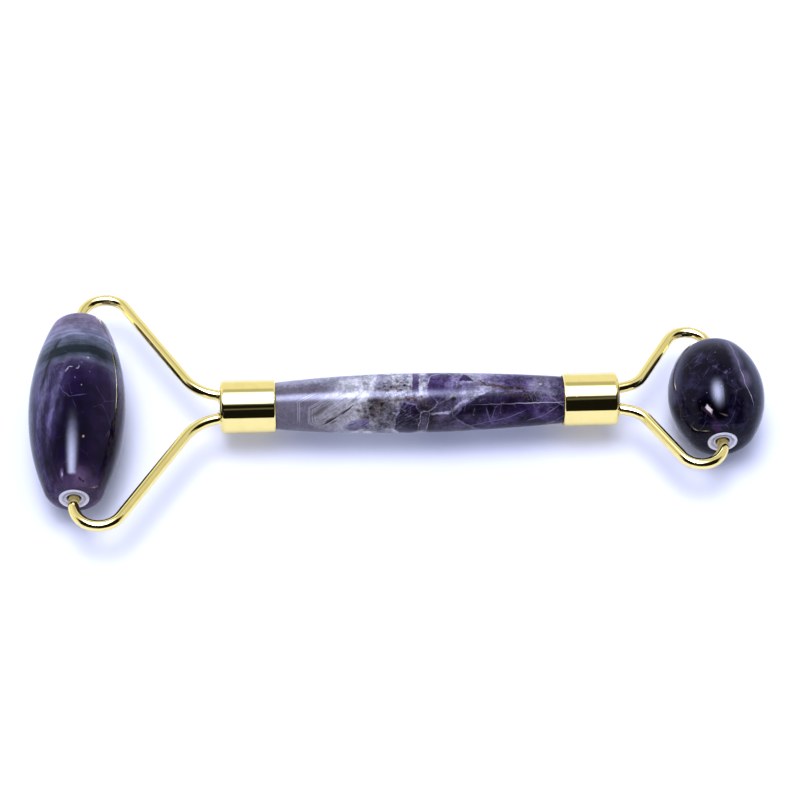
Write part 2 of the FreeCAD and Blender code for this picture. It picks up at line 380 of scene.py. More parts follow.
STONE_IOR = 1.175                   # less than quartz has, to keep the floor's reflection faint
STONE_GLOSS = (0.015, 0.06)         # roughness, from its best polished places to its worst
STONE_GLOW = 0.10                   # share of the light that wanders under the surface
STONE_GLOW_DEPTH = 0.0010
STONE_GLOW_TINT = (1.0, 0.7, 1.0)   # how far each colour wanders, as a share of that depth
STONE_UNEVENNESS = 0.010
SCRATCH_ROUGHNESS = 0.03            # what a scratch adds
FRACTURE_WIDTH = 0.08
HANDLE_RADIUS = 5.5                 # the radius that the handle's surface is unrolled at


def polished(graph, colour, place):
    """Hand-polished quartz: glossy, a little uneven, with hair-fine scratches."""
    wandering = graph.warped(place, place, size=8.0, amount=5.0)
    scratches = graph.cracks(wandering, size=4.5, width=0.02)
    rough = graph.spread(graph.noise(place, size=3.0), *STONE_GLOSS)
    rough = graph.sum("ADD", rough, graph.times(scratches, SCRATCH_ROUGHNESS))
    swell = graph.noise(place, size=5.0, detail=1.0)
    finish_material(
        graph,
        Base_Color=colour,
        Roughness=rough,
        IOR=STONE_IOR,
        Subsurface_Weight=STONE_GLOW,
        Subsurface_Radius=STONE_GLOW_TINT,
        Subsurface_Scale=STONE_GLOW_DEPTH,
        Normal=graph.bump(swell, STONE_UNEVENNESS),
    )


def shaded(graph, colour, clouds, amount):
    """A colour made darker and lighter by clouds of noise."""
    lighter = graph.spread(graph.fade(clouds, nothing=0.36, full=0.64), low=-1.0, high=1.0)
    return graph.scaled(colour, graph.sum("ADD", 1.0, graph.times(lighter, amount)))


def ragged(graph, flat, place, edges):
    """A place on the surface, pushed about so that what is painted there gets ragged edges. The
    edges are given as the (size, amount) of the big pushes, and of the small ones."""
    big, small = edges
    return graph.warped(graph.warped(flat, place, *big), place, *small)


def fractured(graph, colour, place, fractures, colour_of_fracture):
    """A colour with hair-fine cracks over it, given as (size, strength)."""
    for size, strength in fractures:
        lines = graph.fractures(place, size, FRACTURE_WIDTH)
        colour = graph.mix(graph.times(lines, strength), colour, colour_of_fracture)
    return colour


def sparkling(graph, colour, flat, place, sparkles, size, amount):
    """A colour with tiny bright flaws over it, where the patch of sparkles is."""
    shaken = graph.warped(place, place, size=1.0, amount=0.8)
    flecks = graph.specks(shaken, size, amount)
    flecks = graph.times(flecks, patch_share(graph, flat, sparkles))
    return graph.mix(flecks, colour, sparkles.colour)


HANDLE_SPAN = (-32.0, 40.0)         # along the handle, a little past its ends
HANDLE_ZONES = (
    (-24.0, GREY_LAVENDER),
    (-15.0, GREY_LAVENDER),
    (-12.0, PALE_LAVENDER),
    (-8.0, MILKY),
    (-4.6, MILKY),
    (-4.0, PALE_LAVENDER),
    (-1.0, MILKY),
    (2.5, PALE_LAVENDER),
    (4.6, MILKY),
    (5.4, LILAC),
    (6.0, VIOLET),
    (10.0, VIOLET),
    (11.5, LILAC),
    (14.5, PALE_LAVENDER),
    (18.0, LILAC),
    (21.0, DUSKY_LILAC),
    (25.0, VIOLET),
    (29.0, SMOKY),
    (32.0, DEEP_PURPLE),
)

# Clouds, with ragged edges.
HANDLE_CLOUDS = (
    # The first is a painted reflection of the bright wall behind, along the upper back of the grey
    # end.
    Patch(seen(170, 172, 204), -18.0, -3.4, 17.0, 4.2, 0, 0.5, 0.9),
    Patch(SMOKY, -14.0, 0.3, 9.0, 1.4, -18, 0.9, 0.45),
    Patch(SMOKY, -12.0, 1.8, 5.0, 0.8, -35, 0.9, 0.4),
    Patch(MILKY, -8.6, -0.4, 7.6, 6.0, -25, 0.3, 0.85),
    Patch(seen(140, 136, 150), -12.4, 6.0, 9.0, 5.6, -32, 0.4, 0.7),
    Patch(OLIVE_GREY, -3.6, 4.6, 6.4, 7.0, 12, 0.6, 0.95),
    Patch(BROWN_BLACK, -4.2, 2.8, 2.0, 3.0, 40, 0.9, 0.8),
    Patch(PALE_LAVENDER, -2.4, 6.4, 1.8, 4.4, 10, 0.7, 0.6),
    Patch(SMOKY, -0.4, 0.4, 3.0, 2.4, -30, 0.9, 0.5),
    Patch(BROWN_BLACK, -1.4, 4.8, 1.8, 2.6, 30, 0.8, 0.7),
    Patch(seen(52, 42, 58), 4.8, 6.6, 7.0, 7.2, 0, 0.4, 0.95),
    Patch(seen(74, 66, 94), 9.2, 5.6, 6.0, 6.4, 0, 0.5, 0.9),
    Patch(BROWN_BLACK, 5.4, 5.4, 3.4, 1.8, -10, 0.9, 0.6),
    Patch(BROWN, 18.2, 0.7, 5.6, 0.9, 12, 0.9, 0.9),
    Patch(BROWN, 22.0, 1.5, 6.0, 1.6, 8, 0.9, 0.5),
    Patch(seen(64, 56, 84), 12.0, 9.8, 10.0, 5.0, 0, 0.5, 0.95),
    Patch(DUSKY_LILAC, 29.2, 0.6, 5.0, 5.0, 10, 0.6, 0.7),
    Patch(DEEP_PURPLE, 32.6, 2.0, 1.6, 20.0, 0, 0.5, 0.8),
)

# Crystals, with straight sides and pale walls, and the pale seams that cross them.
HANDLE_CRYSTALS = (
    Patch(SMOKY, -2.4, 8.0, 3.4, 3.6, 10, 0.7, 0.85),
    Patch(seen(104, 102, 126), -3.4, 10.2, 4.0, 2.6, 0, 0.7, 0.8),
    Patch(seen(112, 108, 134), -5.8, 9.0, 2.6, 2.0, 0, 0.8, 0.7),
    Patch(seen(72, 62, 78), -7.0, 6.3, 2.2, 2.8, 30, 0.8, 0.95),
    Patch(seen(116, 110, 128), -4.8, 5.8, 2.4, 3.0, 0, 0.8, 0.6),
    Patch(seen(136, 134, 166), -2.9, -1.1, 3.2, 4.4, 6, 0.12, 0.6, 4),
    Patch(DUSKY_LILAC, -8.3, 8.2, 5.2, 2.6, -14, 0.14, 0.9, 5),
    Patch(seen(66, 56, 76), 3.2, 4.0, 7.4, 2.6, -4, 0.5, 0.9),
    Patch(seen(42, 34, 46), 3.2, 5.6, 8.4, 2.8, -4, 0.7, 0.9),
    Patch(DARK_VIOLET, 1.7, 7.4, 5.6, 7.6, 6, 0.08, 0.95, 8, DUSKY_LILAC, 0.05),
    Patch(NEAR_BLACK, 2.2, 6.4, 3.8, 3.4, -20, 0.7, 0.7),
    Patch(BROWN_BLACK, 5.0, 7.6, 3.8, 6.8, 4, 0.5, 0.7),
    Patch(VIOLET, 3.4, -1.2, 1.3, 6.0, 5, 0.16, 0.95, 4),
    Patch(PALE_LAVENDER, 4.8, -0.4, 0.9, 5.6, -10, 0.3, 0.9, 4),
    Patch(MILKY, 5.3, 1.2, 0.5, 2.6, -6, 0.5, 0.5, 4),
    Patch(MILKY, 2.3, -1.0, 0.8, 5.0, 8, 0.4, 0.8, 4),
    Patch(VIOLET, 8.5, 0.0, 5.6, 6.6, 12, 0.08, 0.95, 6, PALE_LAVENDER, 0.06),
    Patch(DEEP_PURPLE, 7.3, 1.6, 4.0, 3.0, -12, 0.6, 1.0),
    *seam(seen(128, 120, 172), ((11.9, -2.4), (10.5, -0.6), (9.4, 0.9)), 1.8, 0.6, 0.85),
    Patch(DUSKY_LILAC, 12.4, 1.0, 6.4, 1.6, -14, 0.2, 0.8, 4),
    Patch(DEEP_PURPLE, 13.2, -1.6, 1.8, 1.7, 84, 0.10, 1.0, 3),
    Patch(seen(76, 68, 98), 9.4, 4.3, 5.4, 2.6, -8, 0.5, 0.9),
    Patch(DARK_VIOLET, 22.3, 6.4, 9.6, 20.4, 90, 0.06, 0.95, 6, DUSKY_LILAC, 0.03),
    Patch(NEAR_BLACK, 16.6, 4.9, 8.0, 2.4, -4, 0.8, 0.8),
    Patch(VIOLET, 19.0, 7.6, 6.4, 3.0, -6, 0.8, 0.75),
    Patch(DEEP_PURPLE, 24.0, 5.6, 4.4, 2.6, -20, 0.8, 0.8),
    Patch(VIOLET, 28.6, 6.6, 4.4, 4.6, -20, 0.5, 0.8),
    Patch(VIOLET, 22.6, -1.3, 5.4, 2.6, -8, 0.2, 0.85, 5),
    Patch(seen(150, 144, 186), 27.4, 0.4, 3.2, 3.0, 30, 0.8, 0.75),
    Patch(seen(98, 86, 132), 28.6, 3.4, 2.4, 1.6, 0, 0.8, 0.7),
    Patch(seen(80, 72, 98), 4.7, 7.9, 1.7, 4.8, 8, 0.10, 0.6, 4, PALE_LAVENDER, 0.07),
    *seam(PALE_LAVENDER, ((5.6, 5.6), (6.9, 4.6), (7.4, 3.4)), 0.24, 0.6, 0.6),
    *seam(PALE_LAVENDER, ((0.2, 4.7), (-1.0, 6.4), (-1.0, 8.8)), 0.36, 0.7, 0.7),
    *seam(PALE_LAVENDER, ((9.2, 2.7), (12.4, 2.1), (15.3, 1.4), (18.5, 0.4)), 0.9, 0.6),
    *seam(PALE_LAVENDER, ((6.2, 6.0), (10.5, 5.4), (11.8, 4.2), (14.2, 2.9), (19.0, 0.8)), 0.5, 0.6),
)

# Streaks, lines and spots, which keep their shape.
HANDLE_MARKS = (
    Patch(OLIVE_GREY, -15.4, 4.8, 4.0, 0.9, -33, 0.5, 0.9),
    Patch(BROWN, -13.6, 6.9, 2.2, 0.6, -31, 0.6, 0.9),
    Patch(OLIVE_GREY, -8.6, 2.6, 2.6, 0.5, -40, 0.6, 0.7),
    Patch(RUST, -8.0, 4.8, 1.0, 0.7, 20, 0.8, 0.9),
    Patch(BROWN_BLACK, -3.4, 1.9, 0.5, 0.5, 0, 0.5, 0.9),
    Patch(BROWN_BLACK, -2.6, 1.2, 0.4, 0.6, 0, 0.5, 0.9),
    Patch(BROWN_BLACK, -6.2, 6.3, 0.7, 0.5, 0, 0.6, 0.8),
    *seam(BROWN_BLACK, ((-15.2, 8.2), (-11.7, 5.7), (-8.9, 3.8)), 0.32, 0.4, 0.95),
    *seam(BROWN_BLACK, ((-13.7, 7.8), (-12.3, 7.0)), 0.26, 0.5, 0.8),
    *seam(BROWN_BLACK, ((-7.6, 8.4), (-6.0, 7.2)), 0.26, 0.5, 0.8),
    *seam(RUST, ((-1.6, 3.1), (1.2, 2.9), (4.4, 2.4)), 0.4, 0.9, 0.7),
    *seam(LILAC, ((17.6, -1.8), (17.0, -0.4), (17.8, 0.8)), 0.24, 0.5, 0.8),
    *seam(BROWN, ((15.6, -1.1), (17.3, 0.4), (19.3, 0.4), (21.0, 0.9), (21.8, 1.8)), 0.34, 0.7),
    Patch(BROWN_BLACK, 10.6, 3.0, 1.0, 0.7, 20, 0.5, 0.95),
    Patch(BROWN_BLACK, 17.6, 0.3, 0.5, 0.3, 0, 0.6, 0.8),
    Patch(MILKY, 27.8, -0.2, 0.6, 0.5, 0, 0.6, 0.9),
    *seam(LILAC, ((13.8, 9.0), (17.6, 8.0), (21.2, 7.2), (24.5, 5.8)), 0.22, 0.6, 0.5),
    *seam(LILAC, ((17.0, 4.9), (17.4, 6.6), (18.2, 8.4)), 0.24, 0.7, 0.4),
    *seam(LILAC, ((25.0, 8.4), (28.5, 7.1), (31.2, 4.9)), 0.2, 0.5, 0.6),
    # A painted highlight: the thin bright line where a ground ridge along the near side catches the
    # light.
    *seam(PALE_LAVENDER, ((15.0, 4.2), (32.2, 4.2)), 0.12, 0.4, 0.6),
    *seam(MILKY, ((23.0, 4.1), (32.6, 4.2)), 0.16, 0.4, 0.8),
)

HANDLE_HEXAGONS = Patch(MILKY, -14.5, 6.0, 10.8, 10.8, 0, 0.3, 1.0, 6)
HANDLE_RINGS = (0.36, 0.46, 0.55, 0.60, 0.93, 1.0)
HANDLE_HEXAGONS_SHOWN = Patch(MILKY, -17.6, 4.6, 6.4, 8.0, 0, 0.3, 0.5)
HANDLE_STREAKED = Patch(MILKY, -11.6, 5.0, 11.0, 8.0, -30, 0.4, 0.8)
HANDLE_STRIATED = Patch(LILAC, 2.0, 6.0, 5.0, 5.4, 0, 0.3, 0.5)
HANDLE_SPECKLED = (
    Patch(RUST, -4.0, 3.0, 9.0, 3.6, -50, 0.5),
    Patch(RUST, 0.2, 0.6, 4.4, 3.6, 0, 0.5),
    Patch(RUST, 2.6, 2.6, 4.4, 1.4, -5, 0.5),
    Patch(RUST, 23.4, 1.6, 5.4, 2.8, 10, 0.6),
)
HANDLE_MOTTLES = (                  # a colour, and the noise where it is absent and where full
    (BROWN_BLACK, 0.50, 0.38),
    (PALE_LAVENDER, 0.52, 0.62),
)
HANDLE_MOTTLED = Patch(BROWN_BLACK, -3.2, 5.2, 7.6, 8.4, 10, 0.7, 1.0)
HANDLE_WISPY = Patch(MILKY, 28.4, 0.6, 8.4, 7.0, 0, 0.6, 1.0)

CLOUD_EDGES = ((3.5, 2.0), (0.8, 1.2))      # what `ragged` is given
CRYSTAL_EDGES = ((4.0, 1.2), (0.7, 0.5))
CLOUD_TATTER = 3.0                  # how far noise frays the clouds' soft edges
CRYSTAL_TATTER = 0.4                # the same for the crystals, as a share of the clouds'
FINE_SHADING = 0.6                  # as a share of the coarse shading
MOTTLE_STRENGTH = 0.8
STREAK_TURN = -32.0                 # degrees
STREAK_STRENGTH = 0.6
STRIATION_TURN = -26.0
STRIATION_STRENGTH = 0.7
RING_WIDTH = 0.13
NEEDLE_TURNS = (-52.0, 18.0, 74.0)  # degrees
NEEDLE_WIDTH = 0.22
NEEDLE_STRENGTH = 0.5
RUST_STRENGTH = 0.85
HANDLE_FRACTURES = ((7.0, 0.4), (4.0, 0.25))        # size and strength


def mottled(graph, colour, flat, place):
    """Dark and pale mottling in the handle's grey middle."""
    share = patch_share(graph, flat, HANDLE_MOTTLED)
    clouds = graph.noise(place, size=0.8, detail=8.0, roughness=0.8)
    for colour_of_mottle, nothing, full in HANDLE_MOTTLES:
        here = graph.times(graph.fade(clouds, nothing, full), share, MOTTLE_STRENGTH)
        colour = graph.mix(here, colour, colour_of_mottle)
    return colour


def shaded_along(graph, colour, x, place):
    """Coarse and fine shading, which grows along the handle."""
    amount = graph.spread(graph.fade(x, nothing=-21.0, full=-2.0), low=0.15, high=0.55)
    coarse = graph.noise(place, size=2.2, detail=6.0, roughness=0.7)
    fine = graph.noise(place, size=0.5, detail=6.0, roughness=0.75)
    colour = shaded(graph, colour, coarse, amount)
    return shaded(graph, colour, fine, graph.times(amount, FINE_SHADING))


def streaked(graph, colour, flat):
    """Slanting streaks, pale and dark, in the milky part, and fine ones on the dark crystal."""
    share = patch_share(graph, flat, HANDLE_STREAKED)
    pale = graph.streaks(flat, STREAK_TURN, width=0.22)
    pale = graph.fade(pale, nothing=0.42, full=0.62)
    colour = graph.mix(graph.times(pale, share, STREAK_STRENGTH), colour, MILKY)
    dark = graph.streaks(flat, STREAK_TURN, width=0.30)
    dark = graph.fade(dark, nothing=0.44, full=0.32)
    colour = graph.mix(graph.times(dark, share, STREAK_STRENGTH), colour, SMOKY)
    share = patch_share(graph, flat, HANDLE_STRIATED)
    striated = graph.streaks(flat, STRIATION_TURN, width=0.20)
    striated = graph.fade(striated, nothing=0.50, full=0.64)
    return graph.mix(graph.times(striated, share, STRIATION_STRENGTH), colour, LILAC)


def hexagonal(graph, colour, flat, place):
    """The pale nested hexagons at the handle's grey end."""
    waving = graph.warped(flat, place, size=3.0, amount=0.5)
    lines = growth_lines(graph, waving, HANDLE_HEXAGONS, HANDLE_RINGS, RING_WIDTH)
    lines = graph.times(lines, patch_share(graph, flat, HANDLE_HEXAGONS_SHOWN))
    return graph.mix(lines, colour, MILKY)


def needled(graph, colour, flat):
    """Pale needles that cross each other, near the small stone's end."""
    share = patch_share(graph, flat, HANDLE_WISPY)
    for turn in NEEDLE_TURNS:
        needles = graph.streaks(flat, turn, NEEDLE_WIDTH)
        needles = graph.fade(needles, nothing=0.56, full=0.66)
        colour = graph.mix(graph.times(needles, share, NEEDLE_STRENGTH), colour, PALE_LAVENDER)
    return colour


def rusty_and_dotted(graph, colour, flat, place):
    """Flecks of iron and dark dots in the handle's grey middle."""
    share = 0.0
    for patch in HANDLE_SPECKLED:
        share = graph.sum("MAXIMUM", share, patch_share(graph, flat, patch))
    rust = graph.noise(place, size=0.8, detail=4.0, roughness=0.7)
    rust = graph.fade(rust, nothing=0.53, full=0.60)
    colour = graph.mix(graph.times(rust, share, RUST_STRENGTH), colour, RUST)
    shaken = graph.warped(place, place, size=0.8, amount=1.0)
    dots = graph.specks(shaken, size=1.0, amount=0.46)
    return graph.mix(graph.times(dots, share), colour, BROWN_BLACK)


def amethyst_handle(box):
    """Banded amethyst: grey and milky at the large stone's end, then purple crystals with pale
    walls, rusty seams, and darker violet under pale veins at the other end."""
    material, graph = new_material("amethyst_handle")
    place = place_in_solid(graph)
    x, y, z = graph.parts(place)
    up = graph.sum("SUBTRACT", z, box.centre.z * PER_METRE)
    near = graph.times(y, -1.0)
    flat = unrolled(graph, x, near, up, HANDLE_RADIUS)
    crumbs = graph.noise(place, size=0.9, detail=6.0, roughness=0.75)
    tatter = graph.times(graph.sum("SUBTRACT", crumbs, NOISE_MIDDLE), CLOUD_TATTER)

    cloudy = ragged(graph, flat, place, CLOUD_EDGES)
    colour = graph.ramp(graph.parts(cloudy)[0], *HANDLE_SPAN, HANDLE_ZONES)
    colour = painted(graph, colour, cloudy, HANDLE_CLOUDS, tatter)
    crystalline = ragged(graph, flat, place, CRYSTAL_EDGES)
    torn = graph.times(tatter, CRYSTAL_TATTER)
    colour = painted(graph, colour, crystalline, HANDLE_CRYSTALS, torn)

    colour = mottled(graph, colour, flat, place)
    colour = shaded_along(graph, colour, x, place)
    colour = streaked(graph, colour, flat)
    colour = hexagonal(graph, colour, flat, place)
    colour = needled(graph, colour, flat)
    colour = fractured(graph, colour, place, HANDLE_FRACTURES, PALE_LAVENDER)
    colour = rusty_and_dotted(graph, colour, flat, place)
    shaken = graph.warped(flat, place, size=1.0, amount=0.35)
    colour = painted(graph, colour, shaken, HANDLE_MARKS)
    polished(graph, colour, place)
    return material


LARGE_SPAN = (-22.0, 22.0)          # along the stone, a little past its ends
LARGE_ZONES = (
    (-21.0, seen(74, 60, 98)),
    (-18.5, seen(36, 24, 54)),
    (-16.0, seen(13, 3, 36)),
    (-6.0, seen(13, 3, 36)),
    (-1.0, seen(22, 10, 50)),
    (2.8, seen(40, 24, 72)),
    (4.4, seen(62, 52, 94)),
    (5.8, seen(96, 98, 130)),
    (6.8, seen(66, 74, 96)),
    (7.6, seen(22, 34, 44)),
    (9.2, seen(24, 36, 48)),
    (10.4, seen(78, 86, 108)),
    (12.4, seen(96, 104, 134)),
    (13.0, seen(136, 142, 184)),
    (13.5, seen(126, 128, 168)),
    (15.6, seen(122, 118, 156)),
    (17.0, seen(118, 108, 142)),
    (21.0, seen(132, 122, 160)),
)

LARGE_PATCHES = (
    Patch(seen(82, 96, 116), 2.0, -12.4, 20.0, 5.4, 0, 0.6, 0.8),
    Patch(seen(92, 86, 136), -1.2, -4.0, 11.0, 2.8, -3, 0.9, 0.85),
    Patch(seen(104, 102, 146), -1.4, -7.0, 12.0, 2.8, 0, 0.9, 0.85),
    Patch(seen(56, 46, 90), -9.0, -6.0, 14.0, 3.0, 3, 0.9, 0.7),
    Patch(seen(68, 58, 112), -12.0, -9.6, 20.0, 3.2, 3, 0.9, 0.8),
    *seam(seen(28, 36, 48), ((12.1, -4.3), (7.6, -5.2), (3.6, -6.2), (-2.0, -7.4)), 0.8, 0.8, 0.95),
    Patch(seen(92, 88, 132), -2.4, -7.0, 13.0, 1.3, 20, 0.7, 0.9),
    Patch(seen(48, 40, 82), -3.5, -5.4, 14.0, 1.1, 14, 0.7, 0.9),
    Patch(seen(94, 90, 136), -4.0, -4.0, 14.0, 1.2, 13, 0.7, 0.85),
    Patch(seen(40, 31, 74), -3.0, -2.6, 14.0, 1.1, 13, 0.7, 0.8),
    Patch(seen(54, 40, 86), 1.0, -1.4, 7.0, 1.6, 10, 0.8, 0.5),
    Patch(seen(104, 102, 138), 3.4, 10.2, 4.0, 4.0, 0, 0.8, 0.7),
    Patch(seen(34, 22, 54), -6.0, 6.4, 22.0, 4.6, 0, 0.8, 0.8),
    Patch(seen(92, 74, 112), -20.0, 3.6, 3.4, 6.0, 0, 0.5, 0.75),
    Patch(seen(62, 44, 66), -2.0, 11.6, 14.0, 3.2, 0, 0.7, 0.6),
    # A painted glint near the near end: a soft halo and its bright core.
    Patch(seen(120, 104, 160), -19.2, -3.4, 1.6, 1.0, 30, 0.6, 0.7),
    Patch(MILKY, -19.4, -3.4, 0.8, 0.4, 30, 0.5, 0.9),
    Patch(MILKY, 6.0, 3.0, 0.3, 0.4, 0, 0.5, 0.9),
    *seam(MILKY, ((2.6, -2.0), (3.4, -1.3), (3.4, -0.5)), 0.22, 0.6),
    *seam(MILKY, ((3.0, 0.1), (3.1, 0.5), (3.6, 0.9)), 0.22, 0.6),
    *seam(seen(112, 100, 150), ((0.4, -3.6), (-2.4, -2.0), (-3.6, -0.7), (-2.9, 2.3)), 0.2, 0.7, 0.5),
    Patch(BROWN_BLACK, -20.6, 3.0, 0.5, 1.6, 15, 0.5, 0.9),
    Patch(BROWN_BLACK, -20.8, 4.3, 0.4, 0.8, 0, 0.5, 0.9),
    Patch(CREAM, -12.4, 2.3, 0.45, 0.5, 0, 0.5, 0.9),
)

LARGE_SPARKLES = Patch(MILKY, 1.6, -0.6, 9.0, 7.0, -8, 0.4, 0.6)

LARGE_EDGES = ((7.0, 2.6), (1.2, 0.5))
RINGS_ROUND = (0.1, 2.4, 0.1)       # draws noise out into thin rings round the stone's axis
RING_SHADING = 0.2
STREAKS_ALONG = (1.0, 0.1, 1.0)     # draws noise out along the axis
STREAK_SHADING = 0.5
LARGE_SHADING = 0.3
LARGE_FRACTURES = ((9.0, 0.2),)


def places_on_stone(graph, box):
    """The place in a rolling stone, how far that is along the stone's axis and across it, and
    the place on the stone's unrolled surface."""
    place = place_in_solid(graph)
    x, along, z = graph.parts(place)
    across, up = from_axis(graph, x, z, box)
    flat = unrolled(graph, along, across, up, box.size.z / 2 * PER_METRE)
    return place, along, across, flat


def amethyst_large(box):
    """A dark purple barrel with a pale, banded far end and long lilac streaks down one side."""
    material, graph = new_material("amethyst_large")
    place, along, across, flat = places_on_stone(graph, box)
    banded = ragged(graph, flat, place, LARGE_EDGES)
    colour = graph.ramp(graph.parts(banded)[0], *LARGE_SPAN, LARGE_ZONES)

    rings = graph.vector("MULTIPLY", place, RINGS_ROUND)
    rings = graph.noise(rings, size=0.9, detail=4.0, roughness=0.7)
    pale_end = graph.fade(along, nothing=1.0, full=8.0)
    colour = shaded(graph, colour, rings, graph.times(pale_end, RING_SHADING))
    colour = painted(graph, colour, banded, LARGE_PATCHES)

    streaks = graph.vector("MULTIPLY", place, STREAKS_ALONG)
    streaks = graph.noise(streaks, size=1.1, detail=4.0, roughness=0.7)
    dark_end = graph.fade(along, nothing=5.0, full=2.0)
    outer_side = graph.fade(across, nothing=0.0, full=-5.0)
    colour = shaded(graph, colour, streaks, graph.times(dark_end, outer_side, STREAK_SHADING))
    clouds = graph.noise(place, size=3.0, detail=5.0, roughness=0.6)
    colour = shaded(graph, colour, clouds, LARGE_SHADING)
    colour = fractured(graph, colour, place, LARGE_FRACTURES, LILAC)
    colour = sparkling(graph, colour, flat, place, LARGE_SPARKLES, size=1.1, amount=0.16)
    polished(graph, colour, place)
    return material


SMALL_PATCHES = (
    Patch(seen(74, 76, 106), 3.6, 8.6, 13.0, 5.6, 14, 0.8, 0.65),
    Patch(seen(112, 118, 158), 3.0, 13.5, 20.0, 6.0, 0, 0.6, 0.7),
    Patch(seen(66, 63, 90), 8.6, 0.0, 4.6, 20.0, 0, 0.8, 0.7),
    Patch(seen(92, 92, 132), 4.6, -11.0, 13.0, 4.6, 4, 0.8, 0.65),
    Patch(seen(96, 94, 130), 3.8, 3.4, 8.0, 2.2, -6, 0.8, 0.8),
    Patch(seen(120, 110, 150), -1.8, 5.0, 3.0, 2.2, 20, 0.8, 0.6),
    *seam(seen(150, 146, 186), ((8.0, 3.0), (3.4, 3.5), (0.4, 3.8)), 0.3, 0.8, 0.6),
    *seam(seen(190, 186, 226), ((0.4, 3.8), (-2.8, 4.7), (-6.3, 7.6)), 0.16, 0.6),
    *seam(seen(80, 74, 110), ((2.0, -7.6), (2.6, -6.6), (5.0, -3.4)), 0.14, 0.6),
    Patch(seen(104, 92, 140), -1.2, 1.0, 0.9, 0.4, 30, 0.6, 0.7),
    Patch(seen(4, 2, 8), -8.3, -3.2, 8.8, 3.2, 109, 0.25, 0.95),
    Patch(seen(60, 40, 66), -8.8, -4.2, 3.4, 0.9, 130, 0.5, 0.7),
    Patch(seen(232, 220, 240), -8.2, -3.9, 1.7, 0.8, 140, 0.3, 0.95, 4),
    *seam(seen(110, 92, 92), ((-9.3, -1.2), (-9.8, 0.8)), 0.22, 0.6),
    Patch(seen(62, 40, 80), -11.0, -3.6, 1.6, 3.4, 0, 0.6, 0.8),
)

SMALL_SPARKLES = Patch(LILAC, 0.0, -2.0, 16.0, 16.0, 0, 0.5, 0.8)

SMALL_DARK = seen(12, 8, 28)
SMALL_HAZE = seen(52, 48, 84)
SMALL_EDGES = ((5.0, 1.4), (1.0, 0.6))
SMALL_FRACTURES = ((8.0, 0.3), (4.5, 0.18))


def amethyst_small(box):
    """Nearly black purple, with grey-lavender haze and one straight pale vein."""
    material, graph = new_material("amethyst_small")
    place, _, _, flat = places_on_stone(graph, box)
    clouds = graph.noise(place, size=4.0, detail=6.0, roughness=0.65)
    colour = graph.mix(graph.fade(clouds, nothing=0.46, full=0.76), SMALL_DARK, SMALL_HAZE)
    colour = painted(graph, colour, ragged(graph, flat, place, SMALL_EDGES), SMALL_PATCHES)
    colour = fractured(graph, colour, place, SMALL_FRACTURES, LILAC)
    colour = sparkling(graph, colour, flat, place, SMALL_SPARKLES, size=1.6, amount=0.09)
    polished(graph, colour, place)
    return material


# ------------------------------------------------------------------ metal and plastic

GOLD = (0.90, 0.75, 0.27, 1.0)
GOLD_DEEP = (0.86, 0.70, 0.22, 1.0)
GOLD_PIT = (0.35, 0.20, 0.06, 1.0)
GOLD_GLOSS = (0.02, 0.05)           # roughness
GOLD_UNEVENNESS = 0.003
PIT_DARKNESS = 0.5
PIT_ROUGHNESS = 0.3
PLASTIC_WHITE = (0.66, 0.64, 0.62, 1.0)
# A stain colour, which also paints the shade in a bush's groove.
PLASTIC_STAIN_AND_SHADE = (0.30, 0.27, 0.34, 1.0)
# Painted shade in a bush's mouth, round the wire.
MOUTH_SHADE = (0.03, 0.02, 0.02, 1.0)
GROOVE_RADIUS = 1.95                # of the groove in a bush's head
GROOVE_REACH = 0.55
GROOVE_SHADE_SHARE = (0.6, 1.0)           # how dark the painted shade in the groove is, from place to place
MOUTH_RADIUS = 1.5
MOUTH_CORE = 0.85                   # the share of that radius that is dark with painted shade all through
STAIN_STRENGTH = 0.3
PLASTIC_GLOSS = (0.22, 0.45)        # roughness
PLASTIC_IOR = 1.5
PLASTIC_GLOW = 0.15
PLASTIC_GLOW_TINT = (1.0, 1.0, 1.0)
PLASTIC_GLOW_DEPTH = 0.0006
PLASTIC_GRAIN = 0.006
GLUE_AMBER = (0.50, 0.46, 0.36, 1.0)
GLUE_DARK = (0.34, 0.30, 0.22, 1.0)


def gold(name):
    """Gold-plated brass with a mirror polish, faint polishing marks and tiny pits."""
    material, graph = new_material(name)
    place = place_in_solid(graph)
    cloud = graph.noise(place, size=2.5, detail=4.0)
    shaken = graph.warped(place, place, size=3.0, amount=2.0)
    pits = graph.specks(shaken, size=2.4, amount=0.05)
    colour = graph.mix(graph.fade(cloud, nothing=0.45, full=0.85), GOLD, GOLD_DEEP)
    colour = graph.mix(graph.times(pits, PIT_DARKNESS), colour, GOLD_PIT)
    rough = graph.spread(cloud, *GOLD_GLOSS)
    rough = graph.sum("ADD", rough, graph.times(pits, PIT_ROUGHNESS))
    waves = graph.bump(graph.noise(place, size=2.5, detail=1.0), GOLD_UNEVENNESS)
    finish_material(graph, Base_Color=colour, Metallic=1.0, Roughness=rough, Normal=waves)
    return material


def soft_plastic(graph, colour, place, cloud):
    """Moulded plastic that lets a little light in."""
    finish_material(
        graph,
        Base_Color=colour,
        Roughness=graph.spread(cloud, *PLASTIC_GLOSS),
        IOR=PLASTIC_IOR,
        Subsurface_Weight=PLASTIC_GLOW,
        Subsurface_Radius=PLASTIC_GLOW_TINT,
        Subsurface_Scale=PLASTIC_GLOW_DEPTH,
        Normal=graph.bump(graph.noise(place, size=0.25, detail=2.0), PLASTIC_GRAIN),
    )


